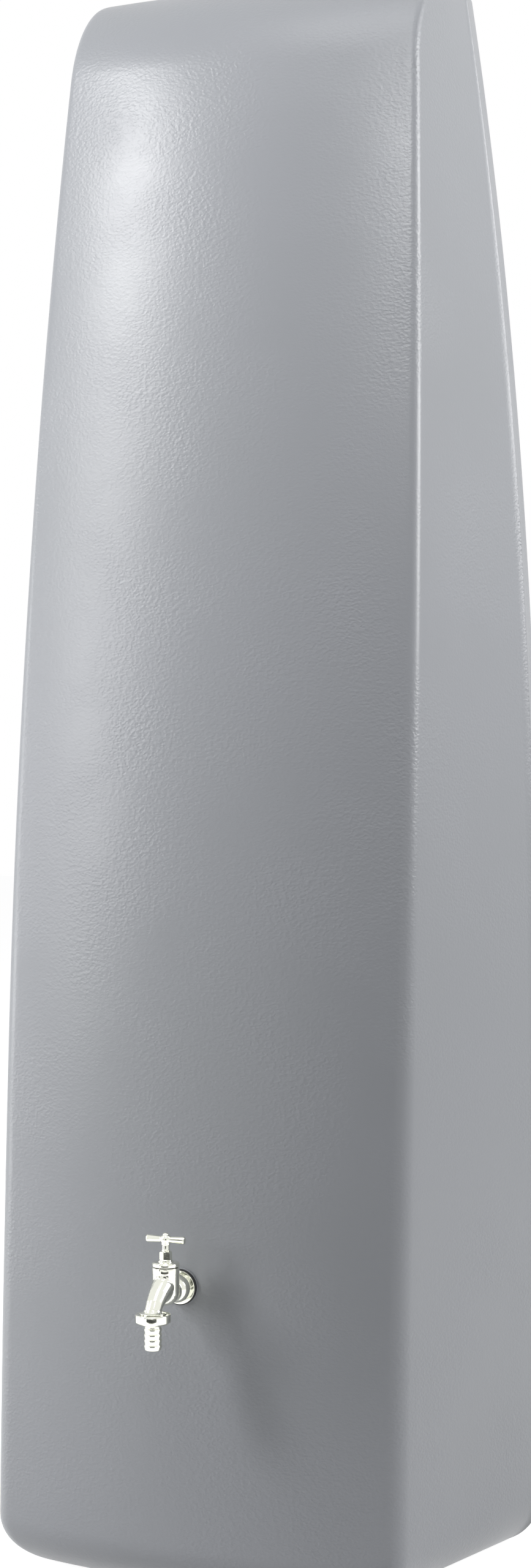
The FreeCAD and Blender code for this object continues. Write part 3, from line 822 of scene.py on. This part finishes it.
# %% Lid
lid_low, lid_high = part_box("lid")
LID_BASE = lid_low[2] / MM
LID_TOP = LID_BASE + 27.2
LID_OUTER, LID_INNER = 59.0, 53.0
SCALLOPS = 36
SCALLOP_DEEP = 1.8       # mm


def grip(radius, height, angle):
    """Waves the skirt outside, and fades out towards its rims."""
    if radius < LID_OUTER - 3.2:
        return radius
    fade = min(1.0, max(0.0, (LID_TOP - 0.5 - height) / 2.0))
    return radius - SCALLOP_DEEP / 2 * fade * (1 - math.cos(SCALLOPS * angle))


lid_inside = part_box("lid_seal")[1][2] / MM + 0.1
profile = [(0, lid_inside), (LID_INNER, lid_inside), (LID_INNER, LID_BASE),
           (LID_OUTER, LID_BASE), (LID_OUTER, LID_TOP - 3), (LID_OUTER, LID_TOP + 1),
           (LID_OUTER - 4, LID_TOP + 3), (LID_OUTER - 9, LID_TOP + 3),
           (LID_OUTER - 12, LID_TOP), (0, LID_TOP)]
lid_mesh = lathe(rounded(profile, 1.2), (0, NECK_Y, 0), (0, 0, 1), SCALLOPS * 10, grip)


def grip_bar():
    """Bar across the lid: a box with a rounded back, a little waisted in the middle."""
    bm = bmesh.new()
    length, count = LID_OUTER - 10.0, 24
    rings = []
    for i in range(count + 1):
        x = -length + 2 * length * i / count
        waist = 6.0 - 1.2 * math.cos(math.pi * x / length / 2) ** 2
        ring = []
        section = [(-waist - 1.2, LID_TOP - 1), (-waist, LID_TOP + 3)]
        for k in range(9):
            angle = math.pi * (1 - k / 8)
            section.append((waist * math.cos(angle), LID_TOP + 4.2 + 3.6 * math.sin(angle)))
        section += [(waist, LID_TOP + 3), (waist + 1.2, LID_TOP - 1)]
        for y, z in section:
            ring.append(bm.verts.new(Vector((x, NECK_Y + y, z)) * MM))
        rings.append(ring)
    for one, two in zip(rings, rings[1:]):
        skin_between(bm, one, two)
    bm.faces.new(rings[0])
    bm.faces.new(rings[-1])
    return mesh_of(bm, "grip_bar")


def join_meshes(name, meshes):
    """One mesh of several."""
    bm = bmesh.new()
    for mesh in meshes:
        bm.from_mesh(mesh)
    return mesh_of(bm, name)


lid = finish_piece("screw_lid", join_meshes("screw_lid", [lid_mesh, grip_bar()]), LID, 40)
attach(lid, "lid")
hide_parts("lid")

# %% [markdown]
# ## Inlet seal
# A grommet: two lips with a groove between them that grips the wall. The bore is plain.

# %% Grommet
LIP = 3.0
grommet = [(16, -WALL - LIP), (22, -WALL - LIP), (23, -WALL - 0.9), (20, -WALL - 0.9), (20, 0.2),
           (24, 0.2), (23, LIP), (16, LIP)]
on_skin = INLET_AT / MM + INLET_OUT * (WALL / 2)
inlet = finish_piece("inlet_grommet", lathe(rounded(grommet, 0.8), on_skin, INLET_OUT, 96), RUBBER)
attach(inlet, "tank")
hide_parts("inlet_seal")

# %% [markdown]
# ## The tap's casting
# The body is cast in one piece: a domed collar against the tank, a short pipe, the upright
# valve chamber and a spout that sweeps forward and down. A casting has no sharp inside
# corners. So its forms are laid into each other, turned into one skin by a fine voxel remesh
# and relaxed, which rounds every joint as the foundry does. The machined rims are turned
# separately, because they are crisp.

# %% Casting
STEM_Y = PAD_Y - 40.0
OUTLET_Y = PAD_Y - 75.0
CAST_VOXEL = 0.45        # mm
CHAMBER = 14.9           # mm, radius of the valve chamber
HOLLOW_LIMIT = 0.025     # mm, how hollow a point must be to count as part of a crease


def tube_through(stations):
    """Closed tube through circles: (reach from the pad, height, pitch down, radius)."""
    bm = bmesh.new()
    rings = []
    fine = []
    for a, b in zip(stations, stations[1:]):
        for k in range(6):
            t = k / 6
            fine.append([a[i] * (1 - t) + b[i] * t for i in range(4)])
    fine.append(list(stations[-1]))
    for reach, height, pitch, radius in fine:
        angle = math.radians(pitch)
        up = Vector((0, -math.sin(angle), math.cos(angle)))
        centre = Vector((0, PAD_Y - reach, TAP_Z + height))
        ring = []
        for i in range(48):
            turn = 2 * math.pi * i / 48
            ring.append(bm.verts.new((centre + Vector((1, 0, 0)) * radius * math.cos(turn)
                                      + up * radius * math.sin(turn)) * MM))
        rings.append(ring)
        if len(rings) > 1:
            skin_between(bm, rings[-2], rings[-1])
    bm.faces.new(rings[0])
    bm.faces.new(rings[-1])
    return mesh_of(bm, "tube")


def soften_roots(mesh, rings, rounds):
    """Smooths only the hollow creases and this many rings of points round them: fillets."""
    count = len(mesh.vertices)
    place, normal = np.empty(count * 3), np.empty(count * 3)
    mesh.vertices.foreach_get("co", place)
    mesh.vertices.foreach_get("normal", normal)
    place, normal = place.reshape(-1, 3), normal.reshape(-1, 3)
    ends = np.empty(len(mesh.edges) * 2, dtype=np.int32)
    mesh.edges.foreach_get("vertices", ends)
    a, b = ends[0::2], ends[1::2]
    links = np.bincount(a, minlength=count) + np.bincount(b, minlength=count)

    def middle():
        sums = [np.bincount(a, place[b, k], count) + np.bincount(b, place[a, k], count)
                for k in range(3)]
        return np.stack(sums, 1) / links[:, None]

    hollow = ((middle() - place) * normal).sum(1)
    weight = (hollow > HOLLOW_LIMIT * MM).astype(float)
    for _ in range(rings):
        wider = weight.copy()
        np.maximum.at(wider, a, weight[b] - 1 / rings)
        np.maximum.at(wider, b, weight[a] - 1 / rings)
        weight = wider
    for _ in range(rounds):
        place += (middle() - place) * 0.5 * weight[:, None]
    mesh.vertices.foreach_set("co", place.ravel())
    mesh.update()


def relaxed(meshes, voxel, rounds):
    """One skin round all the meshes, remeshed and smoothed."""
    piece = bpy.data.objects.new("cast", join_meshes("cast", meshes))
    bpy.context.scene.collection.objects.link(piece)
    remesh = piece.modifiers.new("one_skin", "REMESH")
    remesh.mode = "VOXEL"
    remesh.voxel_size = voxel * MM
    smooth = piece.modifiers.new("relax", "SMOOTH")
    smooth.factor = 0.6
    smooth.iterations = rounds
    bpy.context.view_layer.update()
    mesh = bpy.data.meshes.new_from_object(
        piece.evaluated_get(bpy.context.evaluated_depsgraph_get()))
    bpy.data.objects.remove(piece)
    return mesh


dome = [(0, 3.6), (15.8, 3.6), (15.8, 8.2)]
for i in range(1, 9):
    angle = math.pi / 2 * i / 8
    dome.append((15.8 - 5.3 * (1 - math.cos(angle)), 8.2 + 12 * math.sin(angle)))
dome += [(10.5, 40), (0, 40)]
cast_forms = [
    lathe(dome, (0, PAD_Y, TAP_Z), (0, -1, 0)),
    lathe([(0, -1), (CHAMBER, -1), (CHAMBER, 26), (0, 26)], (0, STEM_Y, TAP_Z), (0, 0, 1)),
    lathe([(0, -13.5)] + [(CHAMBER * math.sin(math.pi / 2 * i / 8),
                           1.4 - CHAMBER * math.cos(math.pi / 2 * i / 8))
                          for i in range(1, 9)]
          + [(0, 1.4)], (0, STEM_Y, TAP_Z), (0, 0, 1)),
    tube_through([(40, 11, 30, 13.6), (49, 7.5, 36, 12.8), (59, 1.5, 46, 11.4),
                  (68.5, -5.5, 63, 10), (74.6, -12.5, 86, 9.2), (75, -14.5, 90, 9.2)]),
]
casting = relaxed(cast_forms, CAST_VOXEL, 6)
soften_roots(casting, 14, 160)
rim = lathe(rounded([(10.2, 22), (15.2, 22), (15.2, 29.1), (10.2, 29.1)], 0.4),
            (0, STEM_Y, TAP_Z), (0, 0, 1), 96)
skirt = lathe(rounded([(6, -20.8), (12.4, -20.8), (12.4, -15.8), (14.8, -15.8), (14.8, -14.8),
                       (12.2, -14.3), (10.3, -13.0), (9.3, -10.8), (6, -10.8)], 0.35),
              (0, OUTLET_Y, TAP_Z), (0, 0, 1), 96)
collar = lathe(rounded([(8, 4.2), (16, 4.2), (16, 7.6), (8, 7.6)], 0.5),
               (0, PAD_Y, TAP_Z), (0, -1, 0), 96)
shank = lathe([(7.5, -15), (13.2, -15), (13.2, 4.6), (7.5, 4.6)], (0, PAD_Y, TAP_Z),
              (0, -1, 0), 64)
tap = finish_piece("tap_casting", join_meshes("tap_casting", [casting, rim, skirt, collar, shank]),
                   CHROME)
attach(tap, "tank")
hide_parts("tap_body")
print("casting:", len(tap.data.polygons), "faces")

# %% [markdown]
# ## Turned pieces of the tap
# Bonnet, spindle, union nut, hose tail, seals and the handle's screw are all turned on a
# lathe, so a profile and a turn make each of them. Their corners are broken by a few tenths of
# a millimetre. Without that an edge catches no light and looks like cut paper.

# %% Turned pieces


def turned_piece(name, node, body, material, profile, centre, axis=(0, 0, 1), edge=0.35):
    piece = finish_piece(name, lathe(rounded(profile, edge), centre, axis, 96), material, 30)
    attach(piece, body)
    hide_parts(node)
    return piece


STEM = (0, STEM_Y, TAP_Z)
OUTLET = (0, OUTLET_Y, TAP_Z)
PAD = (0, PAD_Y, TAP_Z)
turned_piece("tank_side_gasket", "tap_gasket", "tank", RUBBER,
             [(13.5, 0), (20, 0), (20, 3), (13.5, 3)], PAD, (0, -1, 0), 0.7)
turned_piece("flange_washer", "tap_flange_ring", "tank", CHROME,
             [(13.5, 3), (18.8, 3), (18.8, 4.2), (13.5, 4.2)], PAD, (0, -1, 0), 0.4)
turned_piece("bonnet_cap", "bonnet", "tank", CHROME,
             [(5.3, 16), (9.9, 16), (9.9, 30.2), (15.2, 30.2), (15.2, 33.4), (13.9, 34.8),
              (8.6, 35.1), (8.6, 36.2), (6.6, 36.2), (6.6, 30.6), (5.3, 30.6)], STEM)
turned_piece("tap_spindle", "spindle", "spindle", CHROME,
             [(0, 14.5), (2.6, 14.5), (2.6, 8), (5.2, 8), (5.2, 23.5), (4.1, 24.1), (4.1, 46.9),
              (4.7, 46.9), (4.7, 47.9), (4.1, 48.3), (4.1, 53), (2.6, 53), (2.6, 63.5),
              (1.5, 63.5), (1.5, 57), (0, 57)], STEM, edge=0.2)
turned_piece("hub_screw", "handle_screw", "spindle", CHROME,
             [(0, 57.5), (1.4, 57.5), (1.4, 63.7), (3.6, 63.7), (3.5, 65.2), (2.6, 66.4),
              (1.2, 67.1), (0, 67.2)], STEM, edge=0.3)
turned_piece("round_union_nut", "union_nut", "union_nut", CHROME,
             [(12.8, -16), (18.5, -16), (19.5, -16.9), (19.5, -24.6), (17.3, -26.8),
              (15.5, -27), (10.2, -27), (10.2, -24.8), (12.8, -24.8)], OUTLET, edge=0.5)

# %% [markdown]
# The hose tail's barbs are cones: each starts narrow at its lower end, grows to a crest and
# drops back sharply above, so that a hose slides on and won't slide off.

# %% Hose tail
TAIL_END, TAIL_BORE, BARB_PITCH, BARBS = -55.4, 7.0, 6.0, 4
tail = [(TAIL_BORE, -22.7), (12.4, -22.7), (12.4, -24.7), (9.9, -24.7), (9.9, -28.6),
        (9.1, -29.2)]
for i in range(BARBS):
    crest = TAIL_END + BARB_PITCH * (BARBS - i)
    tail += [(9.1, crest), (9.8, crest - 0.1), (9.8, crest - 2.2),
             (9.1, crest - BARB_PITCH + 0.4)]
tail += [(8.8, TAIL_END), (TAIL_BORE, TAIL_END)]
turned_piece("barbed_hose_tail", "hose_tail", "hose_tail", CHROME, tail, OUTLET,
             edge=0.3)

# %% [markdown]
# ## Gland nut
# A small hexagon, milled from bar, with the usual 30 degree chamfer on top. The chamfer is
# what makes a nut look like a nut: where it cuts the flats it leaves curved edges. It comes
# from letting each point of the hexagon fall away with its distance from the axis.

# %% Gland nut


STEM_CLEAR = 4.15        # mm, bore that the spindle runs in


def make_gland_nut():
    bm = bmesh.new()
    across, low, high = 6.0, 37.0, 46.6
    around = 96

    def hex_radius(angle):
        local = (angle + math.pi / 6) % (math.pi / 3) - math.pi / 6
        return across / math.cos(local)

    rings = []
    for share in (0.0, 1.0):
        z_flat = low + (high - low) * share
        ring = []
        for i in range(around):
            angle = 2 * math.pi * i / around
            r = hex_radius(angle)
            z = z_flat - (r - across) * 0.8 * share - 0.3 * share
            ring.append((r, angle, z))
        rings.append(ring)
    rings.append([(across * 0.97, 2 * math.pi * i / around, high) for i in range(around)])
    for z in (high, low):
        rings.append([(STEM_CLEAR, 2 * math.pi * i / around, z) for i in range(around)])
    made = []
    for ring in rings:
        made.append([bm.verts.new(Vector((r * math.cos(a), STEM_Y + r * math.sin(a),
                                          TAP_Z + z)) * MM) for r, a, z in ring])
    for one, two in zip(made, made[1:] + made[:1]):
        skin_between(bm, one, two)
    flange = lathe(rounded([(STEM_CLEAR, 33.8), (6.5, 33.8), (6.5, 36.3), (7.6, 36.3),
                            (7.4, 37.2), (6.6, 37.8), (STEM_CLEAR, 37.8)], 0.25),
                   STEM, (0, 0, 1), 96)
    return join_meshes("gland_nut", [mesh_of(bm, "hexagon"), flange])


gland = finish_piece("hex_gland_nut", make_gland_nut(), CHROME, 25)
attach(gland, "tank")
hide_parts("gland_nut")

# %% [markdown]
# ## T handle
# Hub and arms are one casting. The arms are thinnest at the hub and swell to rounded ends, so
# wet fingers don't slip off. Remeshing and relaxing gives them soft roots.

# %% Handle
BAR_UP = 59.7            # mm above the tap's axis
HUB = 6.2                # mm, radius of the ball
arm = [(0, 0), (3.3, 0), (3.4, 7.0), (4.1, 18.6), (4.3, 21.4), (4.0, 22.3), (3.2, 22.7),
       (0, 22.7)]
ball = [(0, -HUB)] + [(HUB * math.sin(math.pi * i / 16), -HUB * math.cos(math.pi * i / 16))
                      for i in range(1, 16)] + [(0, HUB)]
neck = [(0, 53.2), (4.7, 53.2), (5.0, 55), (5.0, 60), (0, 60)]
hub_at = (0, STEM_Y, TAP_Z + BAR_UP)
handle_mesh = relaxed([lathe(ball, hub_at, (0, 0, 1)), lathe(neck, STEM, (0, 0, 1)),
                       lathe(arm, hub_at, (1, 0, 0)), lathe(arm, hub_at, (-1, 0, 0))], 0.3, 4)
soften_roots(handle_mesh, 6, 40)
handle = finish_piece("t_handle", handle_mesh, CHROME)
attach(handle, "spindle")
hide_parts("handle")

# %% [markdown]
# ## The pieces that keep their drawn shape
# Brackets, washers, screws, inserts and the small parts inside the tap are right as they were
# drawn. They only need their finishes.

# %% Finishes for the drawn nodes
FINISH_OF_SLOT = {"tank_plastic": TANK, "lid_plastic": LID, "seal_rubber": RUBBER,
                  "zinc_steel": ZINC, "brass": BRASS, "chrome": CHROME}
for entry in frame["record"]["subparts"]:
    node = frame["nodes"][entry["node"]]
    for place in node.material_slots:
        place.material = FINISH_OF_SLOT[entry["material_slot"]]
